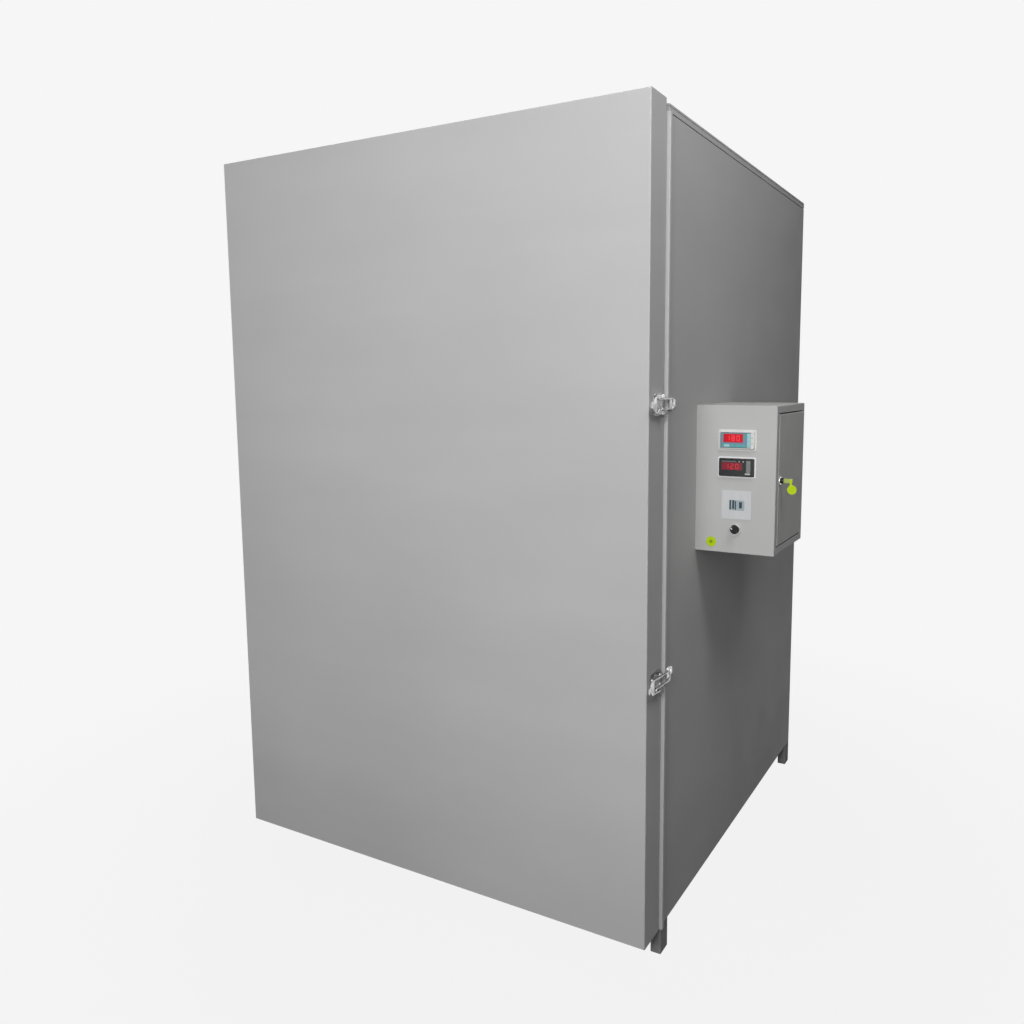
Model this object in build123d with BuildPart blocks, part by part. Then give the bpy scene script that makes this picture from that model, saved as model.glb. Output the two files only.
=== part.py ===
from build123d import *
import os

os.makedirs("parts", exist_ok=True)

# Drying cabinet: a tall insulated cabinet on four short legs, with one flat door over its whole
# front, closed by two toggle latches, and a wall-mounted control enclosure on its right side.
# Millimetres. +Z is up, the door faces -Y, and +X is to the right of someone facing the door.
# The origin is on the floor, under the middle of the whole cabinet with all that it carries.

# Cabinet
cabinet_width = 1420
door_height = 2130
door_depth = 94
door_to_floor = 80
seal_gap = 4
body_depth = 1390
body_rise = 2
body_drop = 7
wall = 80
floor_thick = 90
ceiling_thick = 80
liner_thick = 1.5
seat_gap = 0.3

# Front frame around the doorway
frame_thick = 14
frame_lip = 9.5
frame_round = 3
frame_width = 80

# Roof cap
cap_edge = 20
cap_sheet = 2
cap_shadow = 3
cap_groove = 1.5
cap_lip = 6
ceiling_inset = 5

# Rear corner fold of the side walls
corner_fold = 25

# Legs
leg_width = 30
leg_depth = 50
leg_round = 3

# Door
door_sheet = 2
door_fold = 28
door_edge_round = 3
plug_depth = 24
plug_play = 12
plug_round = 6
plug_taper = 8
seal_width = 22
seal_inset = 14
seal_bevel = 1.2

# Door hinges
barrel_radius = 9
pin_radius = 5
pin_play = 0.05
hinge_play = 0.5
knuckle_length = 60
leaf_thick = 4
leaf_reach = 62
hinge_from_top = 320
hinge_from_bottom = 210

# Toggle latches: places are given out from the side wall and back from the door's front
latch_from_top = 726
latch_from_bottom = 702
latch_pivot_out = 13
latch_pivot_back = 56
loop_pivot_out = 10
loop_pivot_back = 38
base_start = 20
base_end = 88
base_tall = 54
base_round = 12
base_thick = 2.5
ear_thick = 2.5
ear_space = 40
ear_radius = 8
ear_foot = 13
lever_thick = 2.5
lever_boss = 5.5
lever_face_out = 14
lever_web_back = 18
lever_shoulder_back = 8
tongue_start_back = -6
tongue_back = -22
tongue_tall = 14
tongue_curl = 5
rivet_radius = 3.5
wire_radius = 2.5
loop_width = 25
rung_back = 119
hook_top = 9
hook_clear = 3
keeper_start = 113
keeper_end = 167
keeper_thick = 3
keeper_tall = 30
keeper_tip_tall = 18
hook_tall = 16
hook_curl = 5

# Control enclosure on the right side wall
box_depth = 220
box_length = 300
box_height = 400
box_back = 240
box_up = 1075
box_sheet = 1.5
box_round = 4
box_band = 20
box_lip = 12
lid_play = 4
lid_depth = 16
lid_proud = 1
lid_sheet = 1.5
lid_bevel = 1
lid_pin_radius = 1.5
lid_pin_in = 3.5
lid_pin_from_edge = 3
plate_stand = 14
plate_thick = 2
plate_margin = 30
plate_post = 8

# Instruments on the enclosure's face
meter_width = 96
meter_height = 48
meter_bezel = 7
meter_edge = 1.5
meter_rounds = {"controller_upper": 6, "controller_lower": 3}
meter_heights = {"controller_upper": 307, "controller_lower": 234}
meter_rim = 3
meter_recess = 1.5
meter_body_width = 90
meter_body_height = 43
meter_body_depth = 78
meter_across = 114
display_width = 52
display_height = 20
display_across = -12
display_up = 5
display_recess = 1
key_pad_width = 8
key_pad_height = 6
key_pad_proud = 1
key_pad_across = 33
key_pad_rows = 3
key_pad_pitch = 10
card_width = 81
card_height = 78
card_round = 3
card_thick = 0.8
card_across = 114.6
card_up = 132
knob_across = 113
knob_up = 65.5
knob_radius = 12.5
knob_height = 17
knob_skirt = 4
knob_grip = 8
knob_step = 1
knob_rest = 45
knob_spindle_radius = 3
knob_spindle_length = 16
selector_ring_radius = 16.5
selector_ring_thick = 4
selector_body_radius = 11
selector_block = 30
selector_block_depth = 40
marker_radius = 14
marker_across = 46
marker_up = 26.5
marker_thick = 0.8

# Lock, key and tag on the lid
lock_back = 36
lock_up = 200
lock_flange_radius = 11
lock_flange_thick = 2
lock_radius = 7.5
lock_proud = 10
lock_inner = 14
key_length = 24
key_height = 12
key_thick = 2.5
key_round = 3
tag_radius = 12.5
tag_thick = 1.6
tag_drop = 23
tag_out = 33
tag_strap = 6

# Where things lie
hinge_reach = frame_lip + hinge_play + 2 * barrel_radius
tag_reach = lid_proud + tag_out + tag_radius
side_shift = (box_depth + tag_reach - hinge_reach) / 2
left = -cabinet_width / 2 - side_shift
right = left + cabinet_width
front = -(door_depth + seal_gap + body_depth - tongue_back) / 2 - tongue_back
door_back = front + door_depth
body_front = door_back + seal_gap
wall_front = body_front + frame_thick
rear = body_front + body_depth
door_bottom = door_to_floor
door_top = door_bottom + door_height
body_bottom = door_bottom + body_rise
body_top = door_top - body_drop
cap_bottom = body_top - cap_edge
wall_top = cap_bottom - cap_shadow
floor_top = body_bottom + floor_thick
ceiling_bottom = wall_top - ceiling_thick
middle = (left + right) / 2
frame_left = left - frame_lip
frame_right = right + frame_lip
hinge_high = door_top - hinge_from_top
hinge_low = door_bottom + hinge_from_bottom
hinge_heights = {"upper": hinge_high, "middle": (hinge_high + hinge_low) / 2, "lower": hinge_low}
latch_heights = {"upper": door_top - latch_from_top, "lower": door_bottom + latch_from_bottom}


def save(part, label):
    """Name a finished piece and write it out."""
    part.label = label
    export_step(part, f"parts/{label}.step")


def upright_panel(x0, x1, y0, y1, z0, z1):
    """A flat upright or lying panel between two opposite corners."""
    with BuildPart() as panel:
        with BuildSketch(Plane.XY.offset(z0)):
            with Locations(((x0 + x1) / 2, (y0 + y1) / 2)):
                Rectangle(x1 - x0, y1 - y0)
        extrude(amount=z1 - z0)
    return panel.part


# Legs: short box-section posts, flush with the side walls
for side, x in (("left", left + leg_width / 2), ("right", right - leg_width / 2)):
    for end, y in (("front", wall_front + leg_depth / 2), ("rear", rear - leg_depth / 2)):
        with BuildPart() as leg:
            with BuildSketch():
                with Locations((x, y)):
                    RectangleRounded(leg_width, leg_depth, leg_round)
            extrude(amount=body_bottom)
        save(leg.part, f"leg_{end}_{side}")

# Floor panel between the side walls
save(upright_panel(left + wall, right - wall, wall_front, rear - wall, body_bottom, floor_top), "floor_panel")

# Side walls: the outer skin folds round the rear corner, so that end is stepped
for label, outer, inward, outermost in (("side_wall_left", left, 1, 0), ("side_wall_right", right, -1, -1)):
    with BuildPart() as side_wall:
        with BuildSketch(Plane.XY.offset(body_bottom)):
            with BuildLine():
                Polyline(
                    (outer, wall_front),
                    (outer + inward * wall, wall_front),
                    (outer + inward * wall, rear - wall),
                    (outer + inward * corner_fold, rear - wall),
                    (outer + inward * corner_fold, rear),
                    (outer, rear),
                    close=True,
                )
            make_face()
        extrude(amount=wall_top - body_bottom)
        outer_edges = side_wall.edges().filter_by(Axis.Z).group_by(Axis.X)[outermost]
        fillet(outer_edges.sort_by(Axis.Y)[-1], frame_round)
    save(side_wall.part, label)

# Rear wall between the folded corners, down to the bottom edge
save(
    upright_panel(left + corner_fold, right - corner_fold, rear - wall, rear, body_bottom, wall_top),
    "rear_wall",
)

# Ceiling panel: thick between the walls, thinner above them, set back to leave a shadow line
with BuildPart() as ceiling_panel:
    with BuildSketch(Plane.XY.offset(ceiling_bottom)):
        with Locations((middle, (wall_front + rear - wall) / 2)):
            Rectangle(cabinet_width - 2 * wall, rear - wall - wall_front)
    extrude(amount=wall_top - ceiling_bottom)
    with BuildSketch(Plane.XY.offset(wall_top)):
        with Locations((middle, (wall_front + rear) / 2)):
            Rectangle(cabinet_width - 2 * ceiling_inset, rear - wall_front - 2 * ceiling_inset)
    extrude(amount=body_top - cap_sheet - wall_top)
save(ceiling_panel.part, "ceiling_panel")

# Roof cap: a shallow folded tray with a bead groove round its edge
with BuildPart() as roof_cap:
    with BuildSketch(Plane.XY.offset(cap_bottom)):
        with Locations((middle, (wall_front + rear) / 2)):
            Rectangle(cabinet_width, rear - wall_front)
    extrude(amount=cap_edge)
    with BuildSketch(Plane.XY.offset(cap_bottom)):
        with Locations((middle, (wall_front + rear) / 2)):
            Rectangle(cabinet_width - 2 * ceiling_inset, rear - wall_front - 2 * ceiling_inset)
    extrude(amount=cap_edge - cap_sheet, mode=Mode.SUBTRACT)
    with BuildSketch(Plane.XY.offset(body_top - cap_lip - cap_groove)):
        with Locations((middle, (wall_front + rear) / 2)):
            Rectangle(cabinet_width, rear - wall_front)
            Rectangle(
                cabinet_width - 2 * cap_groove, rear - wall_front - 2 * cap_groove, mode=Mode.SUBTRACT
            )
    extrude(amount=cap_groove, mode=Mode.SUBTRACT)
    chamfer(roof_cap.faces().sort_by(Axis.Z)[-1].edges(), cap_groove / 2)
save(roof_cap.part, "roof_cap")

# Front frame: two posts, a head and a sill round the doorway, with a lip beside the walls
for label, outer, inner, outermost in (
    ("frame_post_left", frame_left, left + frame_width, 0),
    ("frame_post_right", frame_right, right - frame_width, -1),
):
    with BuildPart() as post:
        with BuildSketch(Plane.XY.offset(body_bottom)):
            with Locations(((outer + inner) / 2, body_front + frame_thick / 2)):
                Rectangle(abs(outer - inner), frame_thick)
        extrude(amount=wall_top - body_bottom)
        fillet(post.edges().filter_by(Axis.Z).group_by(Axis.X)[outermost], frame_round)
    save(post.part, label)
for label, z0, z1 in (("frame_sill", body_bottom, floor_top), ("frame_head", ceiling_bottom, wall_top)):
    with BuildPart() as rail:
        with BuildSketch(Plane.XY.offset(z0)):
            with Locations((middle, body_front + frame_thick / 2)):
                Rectangle(cabinet_width - 2 * frame_width, frame_thick)
        extrude(amount=z1 - z0)
    save(rail.part, label)

# Chamber liner: one folded box of thin sheet, open at the front
with BuildPart() as chamber_liner:
    with BuildSketch(Plane.XY.offset(floor_top)):
        with Locations((middle, (wall_front + rear - wall) / 2)):
            Rectangle(cabinet_width - 2 * wall, rear - wall - wall_front)
    extrude(amount=ceiling_bottom - floor_top)
    offset(amount=-liner_thick, openings=chamber_liner.faces().sort_by(Axis.Y)[0])
save(chamber_liner.part, "chamber_liner")

# Door shell: a deep folded tray whose flange turns in behind
with BuildPart() as door_shell:
    with BuildSketch(Plane.XZ.offset(-front)):
        with Locations((middle, (door_bottom + door_top) / 2)):
            Rectangle(cabinet_width, door_height)
    extrude(amount=-door_depth)
    front_edges = door_shell.faces().sort_by(Axis.Y)[0].edges()
    fillet(front_edges, door_edge_round)
    with BuildSketch(Plane.XZ.offset(-front - door_sheet)):
        with Locations((middle, (door_bottom + door_top) / 2)):
            Rectangle(cabinet_width - 2 * door_sheet, door_height - 2 * door_sheet)
    extrude(amount=-(door_depth - 2 * door_sheet), mode=Mode.SUBTRACT)
    with BuildSketch(Plane.XZ.offset(-door_back)):
        with Locations((middle, (door_bottom + door_top) / 2)):
            Rectangle(cabinet_width - 2 * door_fold, door_height - 2 * door_fold)
    extrude(amount=door_sheet * 2, mode=Mode.SUBTRACT)
save(door_shell.part, "door_shell")

# Door insulation, filling the shell
with BuildPart() as door_core:
    with BuildSketch(Plane.XZ.offset(-front - door_sheet)):
        with Locations((middle, (door_bottom + door_top) / 2)):
            Rectangle(cabinet_width - 2 * door_sheet, door_height - 2 * door_sheet)
    extrude(amount=-(door_depth - 2 * door_sheet))
save(door_core.part, "door_core")

# Door liner: closes the back of the door and carries the raised plug that enters the doorway
plug_width = cabinet_width - 2 * frame_width - 2 * plug_play
plug_low = floor_top + plug_play
plug_high = ceiling_bottom - plug_play
with BuildPart() as door_liner:
    with BuildSketch(Plane.XZ.offset(-door_back + door_sheet)):
        with Locations((middle, (door_bottom + door_top) / 2)):
            Rectangle(cabinet_width - 2 * door_fold, door_height - 2 * door_fold)
    extrude(amount=-door_sheet)
    with BuildSketch(Plane.XZ.offset(-door_back)):
        with Locations((middle, (plug_low + plug_high) / 2)):
            RectangleRounded(plug_width, plug_high - plug_low, plug_round)
    extrude(amount=-plug_depth, taper=plug_taper)
save(door_liner.part, "door_liner")

# Door seal: a flat ring on the back of the door, round the plug
with BuildPart() as door_seal:
    with BuildSketch(Plane.XZ.offset(-door_back)):
        with Locations((middle, (body_bottom + wall_top) / 2)):
            outer_width = cabinet_width - 2 * seal_inset
            outer_height = wall_top - body_bottom - 2 * seal_inset
            RectangleRounded(outer_width, outer_height, plug_round)
            RectangleRounded(
                outer_width - 2 * seal_width, outer_height - 2 * seal_width, plug_round, mode=Mode.SUBTRACT
            )
    extrude(amount=-(seal_gap - seat_gap))
    chamfer(door_seal.faces().sort_by(Axis.Y)[-1].edges(), seal_bevel)
save(door_seal.part, "door_seal")

# Door hinges: lift-off barrels on the left, with packed leaves screwed to door and body
hinge_x = left - frame_lip - hinge_play - barrel_radius
hinge_y = (door_back + body_front) / 2
leaf_outer = left - frame_lip - leaf_thick
for place, up in hinge_heights.items():
    with BuildPart() as body_half:
        with BuildSketch(Plane.XY.offset(up - knuckle_length)):
            with Locations((hinge_x, hinge_y)):
                Circle(barrel_radius)
        extrude(amount=knuckle_length)
        with BuildSketch(Plane.XY.offset(up)):
            with Locations((hinge_x, hinge_y)):
                Circle(pin_radius)
        extrude(amount=knuckle_length - door_sheet)
        with BuildSketch(Plane.XY.offset(up - knuckle_length)):
            with BuildLine():
                Polyline(
                    (hinge_x, hinge_y),
                    (leaf_outer, hinge_y),
                    (leaf_outer + leaf_thick, hinge_y + hinge_play),
                    (leaf_outer + leaf_thick, wall_front + hinge_play),
                    (left, wall_front + hinge_play),
                    (left, hinge_y + leaf_reach),
                    (leaf_outer, hinge_y + leaf_reach),
                    (leaf_outer, hinge_y + barrel_radius),
                    (hinge_x, hinge_y + barrel_radius),
                    close=True,
                )
            make_face()
        extrude(amount=knuckle_length)
    save(body_half.part, f"hinge_body_{place}")
    with BuildPart() as door_half:
        with BuildSketch(Plane.XY.offset(up + seat_gap)):
            with Locations((hinge_x, hinge_y)):
                Circle(barrel_radius)
            with BuildLine():
                Polyline(
                    (hinge_x, hinge_y),
                    (leaf_outer, hinge_y),
                    (leaf_outer + leaf_thick, hinge_y - barrel_radius),
                    (leaf_outer + leaf_thick, door_back - door_sheet),
                    (left, door_back - door_sheet),
                    (left, hinge_y - leaf_reach),
                    (leaf_outer, hinge_y - leaf_reach),
                    (leaf_outer, hinge_y - barrel_radius),
                    (hinge_x, hinge_y - barrel_radius),
                    close=True,
                )
            make_face()
            with Locations((hinge_x, hinge_y)):
                Circle(pin_radius + pin_play, mode=Mode.SUBTRACT)
        extrude(amount=knuckle_length)
    save(door_half.part, f"hinge_door_{place}")


def latch_point(out, back):
    """A point of a latch in plan, out from the side wall and back from the door's front."""
    return (right + out, front + back)


pivot = latch_point(latch_pivot_out, latch_pivot_back)
loop_pivot = latch_point(loop_pivot_out, loop_pivot_back)
rung = latch_point(hook_top + hook_clear + wire_radius, rung_back)


def latch_base(up):
    """Plate on the door's side with two ears and rivets for the lever."""
    with BuildPart() as base:
        with BuildSketch(Plane.YZ.offset(right)):
            with Locations((front + (base_start + base_end) / 2, up)):
                RectangleRounded(base_end - base_start, base_tall, base_round)
        extrude(amount=base_thick)
        for low in (up - ear_space / 2 - ear_thick, up + ear_space / 2):
            with BuildSketch(Plane.XY.offset(low)):
                with Locations(pivot):
                    Circle(ear_radius)
                with Locations(latch_point(base_thick / 2, latch_pivot_back)):
                    Rectangle(base_thick, 2 * ear_foot)
                make_hull()
            extrude(amount=ear_thick)
        rivet_length = ear_thick + lever_thick + 2 * seat_gap
        for low in (up - ear_space / 2 - ear_thick, up + ear_space / 2 + ear_thick - rivet_length):
            with BuildSketch(Plane.XY.offset(low)):
                with Locations(pivot):
                    Circle(rivet_radius)
            extrude(amount=rivet_length)
    return base.part


def latch_lever(up):
    """Pressed lever: two cheeks on the pivots and a web that narrows to a curled finger tongue."""
    cheek_outer = ear_space / 2 - 2 * seat_gap
    web_inner_out = lever_face_out - lever_thick
    cheek_corner = latch_point(lever_face_out - lever_thick / 2, lever_shoulder_back + lever_thick)
    with BuildPart() as lever:
        for low in (up - cheek_outer, up + cheek_outer - lever_thick):
            with BuildSketch(Plane.XY.offset(low)):
                with Locations(pivot, loop_pivot):
                    Circle(lever_boss)
                with Locations(cheek_corner):
                    Circle(lever_thick / 2)
                make_hull()
                with Locations(pivot):
                    Circle(rivet_radius + pin_play, mode=Mode.SUBTRACT)
                with Locations(loop_pivot):
                    Circle(wire_radius + pin_play, mode=Mode.SUBTRACT)
            extrude(amount=lever_thick)
        with BuildSketch(Plane.XY.offset(up - cheek_outer)):
            with BuildLine():
                Polyline(
                    latch_point(web_inner_out, lever_web_back),
                    latch_point(lever_face_out, lever_web_back),
                    latch_point(lever_face_out, tongue_back + tongue_curl),
                    latch_point(lever_face_out + tongue_curl, tongue_back),
                    latch_point(web_inner_out + tongue_curl, tongue_back),
                    latch_point(web_inner_out, tongue_back + tongue_curl),
                    close=True,
                )
            make_face()
        extrude(amount=2 * cheek_outer)
        lever_end_back = latch_pivot_back + lever_boss + lever_thick
        with BuildSketch(Plane.YZ.offset(right)):
            with BuildLine():
                Polyline(
                    (front + tongue_back, up - tongue_tall / 2),
                    (front + tongue_start_back, up - tongue_tall / 2),
                    (front + lever_shoulder_back, up - cheek_outer),
                    (front + lever_end_back, up - cheek_outer),
                    (front + lever_end_back, up + cheek_outer),
                    (front + lever_shoulder_back, up + cheek_outer),
                    (front + tongue_start_back, up + tongue_tall / 2),
                    (front + tongue_back, up + tongue_tall / 2),
                    close=True,
                )
            make_face()
        extrude(amount=2 * lever_face_out, mode=Mode.INTERSECT)
    return lever.part


def latch_loop(up):
    """Closed wire ring: its near bar turns in the lever, its far bar goes over the keeper."""
    half = loop_width / 2
    reach = ear_space / 2 - 2 * seat_gap
    start = (*loop_pivot, up + half)
    along = (rung[0] - loop_pivot[0], rung[1] - loop_pivot[1], 0)
    with BuildPart() as loop:
        with BuildLine():
            Polyline(start, (*rung, up + half), (*rung, up - half), (*loop_pivot, up - half))
        with BuildSketch(Plane(origin=start, z_dir=along)):
            Circle(wire_radius)
        sweep(transition=Transition.RIGHT)
        with BuildSketch(Plane.XY.offset(up - reach)):
            with Locations(loop_pivot):
                Circle(wire_radius)
        extrude(amount=2 * reach)
    return loop.part


def latch_keeper(up):
    """Tapered plate on the side wall with a hook that the loop goes over."""
    with BuildPart() as keeper:
        with BuildSketch(Plane.YZ.offset(right)):
            with BuildLine():
                Polyline(
                    (front + keeper_start, up - keeper_tall / 2),
                    (front + (keeper_start + keeper_end) / 2, up - keeper_tall / 2),
                    (front + keeper_end, up - keeper_tip_tall / 2),
                    (front + keeper_end, up + keeper_tip_tall / 2),
                    (front + (keeper_start + keeper_end) / 2, up + keeper_tall / 2),
                    (front + keeper_start, up + keeper_tall / 2),
                    close=True,
                )
            make_face()
        extrude(amount=keeper_thick)
        hook_back = keeper_start + keeper_thick
        with BuildSketch(Plane.XY.offset(up - hook_tall / 2)):
            with BuildLine():
                Polyline(
                    latch_point(keeper_thick / 2, keeper_start),
                    latch_point(hook_top, keeper_start),
                    latch_point(hook_top, hook_back + hook_curl),
                    latch_point(hook_top - keeper_thick / 2, hook_back + hook_curl),
                    latch_point(hook_top - keeper_thick, hook_back),
                    latch_point(keeper_thick / 2, hook_back),
                    close=True,
                )
            make_face()
        extrude(amount=hook_tall)
    return keeper.part


for place, up in latch_heights.items():
    save(latch_base(up), f"latch_base_{place}")
    save(latch_lever(up), f"latch_lever_{place}")
    save(latch_loop(up), f"latch_loop_{place}")
    save(latch_keeper(up), f"latch_keeper_{place}")

# Control enclosure
box_face = right + box_depth
box_front = body_front + box_back
box_rear = box_front + box_length
box_bottom = box_up
box_top = box_bottom + box_height
lid_front = box_front + box_band + lid_play
lid_rear = box_rear - box_band - lid_play
lid_bottom = box_bottom + box_band + lid_play
lid_top = box_top - box_band - lid_play
lid_face = box_face + lid_proud
box_mid_y = (box_front + box_rear) / 2
box_mid_z = (box_bottom + box_top) / 2
lid_pin = (lid_face - lid_pin_in, lid_rear - lid_pin_from_edge)
opening_length = box_length - 2 * box_band
opening_height = box_height - 2 * box_band


def face_plane():
    """The enclosure's instrument face, seen from the front, with its origin at a corner."""
    return Plane(origin=(right, box_front, box_bottom), x_dir=(1, 0, 0), z_dir=(0, -1, 0))


with BuildPart() as enclosure_body:
    with BuildSketch(Plane.YZ.offset(right)):
        with Locations((box_mid_y, box_mid_z)):
            Rectangle(box_length, box_height)
    extrude(amount=box_depth)
    fillet(enclosure_body.faces().sort_by(Axis.X)[-1].edges(), box_round)
    with BuildSketch(Plane.YZ.offset(right + box_sheet)):
        with Locations((box_mid_y, box_mid_z)):
            Rectangle(box_length - 2 * box_sheet, box_height - 2 * box_sheet)
    extrude(amount=box_depth - 2 * box_sheet, mode=Mode.SUBTRACT)
    # The lid's opening has a lip turned in all round, and the lid's pins turn in its ends
    with BuildSketch(Plane.YZ.offset(box_face - box_lip)):
        with Locations((box_mid_y, box_mid_z)):
            Rectangle(opening_length + 2 * box_sheet, opening_height + 2 * box_sheet)
    extrude(amount=box_lip)
    with BuildSketch(Plane.YZ.offset(box_face - box_lip)):
        with Locations((box_mid_y, box_mid_z)):
            Rectangle(opening_length, opening_height)
    extrude(amount=box_lip, mode=Mode.SUBTRACT)
    for low in (lid_bottom - lid_play - box_sheet, lid_top + lid_play):
        with BuildSketch(Plane.XY.offset(low)):
            with Locations(lid_pin):
                Circle(lid_pin_radius + pin_play)
        extrude(amount=box_sheet, mode=Mode.SUBTRACT)
    with BuildSketch(face_plane()):
        with Locations(*[(meter_across, up) for up in meter_heights.values()]):
            Rectangle(meter_body_width + 2 * seat_gap, meter_body_height + 2 * seat_gap)
        with Locations((knob_across, knob_up)):
            Circle(selector_body_radius + seat_gap)
    extrude(amount=-2 * box_sheet, mode=Mode.SUBTRACT)
save(enclosure_body.part, "enclosure_body")

with BuildPart() as enclosure_lid:
    with BuildSketch(Plane.YZ.offset(lid_face - lid_depth)):
        with Locations((box_mid_y, box_mid_z)):
            Rectangle(lid_rear - lid_front, lid_top - lid_bottom)
    extrude(amount=lid_depth)
    chamfer(enclosure_lid.faces().sort_by(Axis.X)[-1].edges(), lid_bevel)
    with BuildSketch(Plane.YZ.offset(lid_face - lid_depth)):
        with Locations((box_mid_y, box_mid_z)):
            Rectangle(lid_rear - lid_front - 2 * lid_sheet, lid_top - lid_bottom - 2 * lid_sheet)
    extrude(amount=lid_depth - lid_sheet, mode=Mode.SUBTRACT)
    with BuildSketch(Plane.YZ.offset(lid_face)):
        with Locations((box_front + lock_back, box_bottom + lock_up)):
            Circle(lock_radius + pin_play)
    extrude(amount=-2 * lid_sheet, mode=Mode.SUBTRACT)
    pin_length = lid_play + box_sheet
    for low in (lid_bottom - pin_length, lid_top - lid_sheet):
        with BuildSketch(Plane.XY.offset(low)):
            with Locations(lid_pin):
                Circle(lid_pin_radius)
        extrude(amount=pin_length + lid_sheet)
save(enclosure_lid.part, "enclosure_lid")

# Mounting plate on four posts at the back of the enclosure
with BuildPart() as mounting_plate:
    plate_length = box_length - 2 * plate_margin
    plate_height = box_height - 2 * plate_margin
    with BuildSketch(Plane.YZ.offset(right + plate_stand)):
        with Locations((box_mid_y, box_mid_z)):
            Rectangle(plate_length, plate_height)
    extrude(amount=plate_thick)
    with BuildSketch(Plane.YZ.offset(right + box_sheet)):
        with Locations((box_mid_y, box_mid_z)):
            with GridLocations(plate_length - 2 * box_band, plate_height - 2 * box_band, 2, 2):
                Rectangle(plate_post, plate_post)
    extrude(amount=plate_stand - box_sheet)
save(mounting_plate.part, "mounting_plate")

# Panel instruments: a rimmed bezel with a sunk display and key pads, and a housing through its cut-out
for label, up in meter_heights.items():
    with BuildPart() as meter:
        with BuildSketch(face_plane()):
            with Locations((meter_across, up)):
                RectangleRounded(meter_width, meter_height, meter_rounds[label])
        extrude(amount=meter_bezel)
        chamfer(meter.faces().sort_by(Axis.Y)[0].edges(), meter_edge)
        front_face = face_plane().offset(meter_bezel)
        with BuildSketch(front_face):
            with Locations((meter_across, up)):
                Rectangle(meter_width - 2 * meter_rim, meter_height - 2 * meter_rim)
        extrude(amount=-meter_recess, mode=Mode.SUBTRACT)
        with BuildSketch(front_face):
            with Locations((meter_across + display_across, up + display_up)):
                Rectangle(display_width, display_height)
        extrude(amount=-meter_recess - display_recess, mode=Mode.SUBTRACT)
        with BuildSketch(front_face.offset(-meter_recess)):
            with Locations((meter_across + key_pad_across, up)):
                with GridLocations(key_pad_width, key_pad_pitch, 1, key_pad_rows):
                    Rectangle(key_pad_width, key_pad_height)
        extrude(amount=key_pad_proud)
        with BuildSketch(face_plane()):
            with Locations((meter_across, up)):
                Rectangle(meter_body_width, meter_body_height)
        extrude(amount=-meter_body_depth)
    save(meter.part, label)

with BuildPart() as label_card:
    with BuildSketch(face_plane()):
        with Locations((card_across, card_up)):
            RectangleRounded(card_width, card_height, card_round)
    extrude(amount=card_thick)
save(label_card.part, "label_card")

with BuildPart() as marker_disc:
    with BuildSketch(face_plane()):
        with Locations((marker_across, marker_up)):
            Circle(marker_radius)
    extrude(amount=marker_thick)
save(marker_disc.part, "marker_disc")

# Selector switch: a ring on the enclosure with a contact block behind, and the knob that turns in it
with BuildPart() as selector_base:
    with BuildSketch(face_plane()):
        with Locations((knob_across, knob_up)):
            Circle(selector_ring_radius)
    extrude(amount=selector_ring_thick)
    with BuildSketch(face_plane()):
        with Locations((knob_across, knob_up)):
            Circle(selector_body_radius)
    extrude(amount=-2 * box_sheet)
    with BuildSketch(face_plane().offset(-2 * box_sheet)):
        with Locations((knob_across, knob_up)):
            Rectangle(selector_block, selector_block)
    extrude(amount=-selector_block_depth)
    with BuildSketch(face_plane().offset(selector_ring_thick)):
        with Locations((knob_across, knob_up)):
            Circle(knob_spindle_radius + pin_play)
    extrude(amount=-knob_spindle_length - 2 * seat_gap, mode=Mode.SUBTRACT)
save(selector_base.part, "selector_base")

with BuildPart() as selector_knob:
    skirt_plane = face_plane().offset(selector_ring_thick + seat_gap)
    with BuildSketch(skirt_plane):
        with Locations((knob_across, knob_up)):
            Circle(knob_radius)
    extrude(amount=knob_skirt)
    with BuildSketch(skirt_plane.offset(knob_skirt)):
        with Locations((knob_across, knob_up)):
            SlotOverall(2 * (knob_radius - knob_step), knob_grip, rotation=90 + knob_rest)
    extrude(amount=knob_height - knob_skirt)
    with BuildSketch(skirt_plane):
        with Locations((knob_across, knob_up)):
            Circle(knob_spindle_radius)
    extrude(amount=-knob_spindle_length)
save(selector_knob.part, "selector_knob")

# Lock through the lid, the key in it and the round tag that hangs from the key
lock_point = (box_front + lock_back, box_bottom + lock_up)
with BuildPart() as lid_lock:
    with BuildSketch(Plane.YZ.offset(lid_face)):
        with Locations(lock_point):
            Circle(lock_flange_radius)
    extrude(amount=lock_flange_thick)
    with BuildSketch(Plane.YZ.offset(lid_face - lock_inner)):
        with Locations(lock_point):
            Circle(lock_radius)
    extrude(amount=lock_inner + lock_proud)
save(lid_lock.part, "lid_lock")

key_front = lid_face + lock_proud
with BuildPart() as lock_key:
    with BuildSketch(Plane.XZ.offset(-lock_point[0] - key_thick / 2)):
        with Locations((key_front + key_length / 2, lock_point[1])):
            RectangleRounded(key_length, key_height, key_round)
    extrude(amount=key_thick)
save(lock_key.part, "lock_key")

# The tag's strap lies against the key's front face
with BuildPart() as key_tag:
    with BuildSketch(Plane.XZ.offset(-lock_point[0] + key_thick / 2)):
        with Locations((lid_face + tag_out, lock_point[1] - tag_drop)):
            Circle(tag_radius)
        with Locations((lid_face + tag_out - tag_strap / 2, lock_point[1] - tag_drop / 2)):
            Rectangle(tag_strap, tag_drop + tag_strap)
    extrude(amount=tag_thick)
save(key_tag.part, "key_tag")
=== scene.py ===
import math

import bmesh
import bpy
from bpy.props import FloatProperty, FloatVectorProperty, IntProperty, PointerProperty
from mathutils import Matrix, Vector


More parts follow.
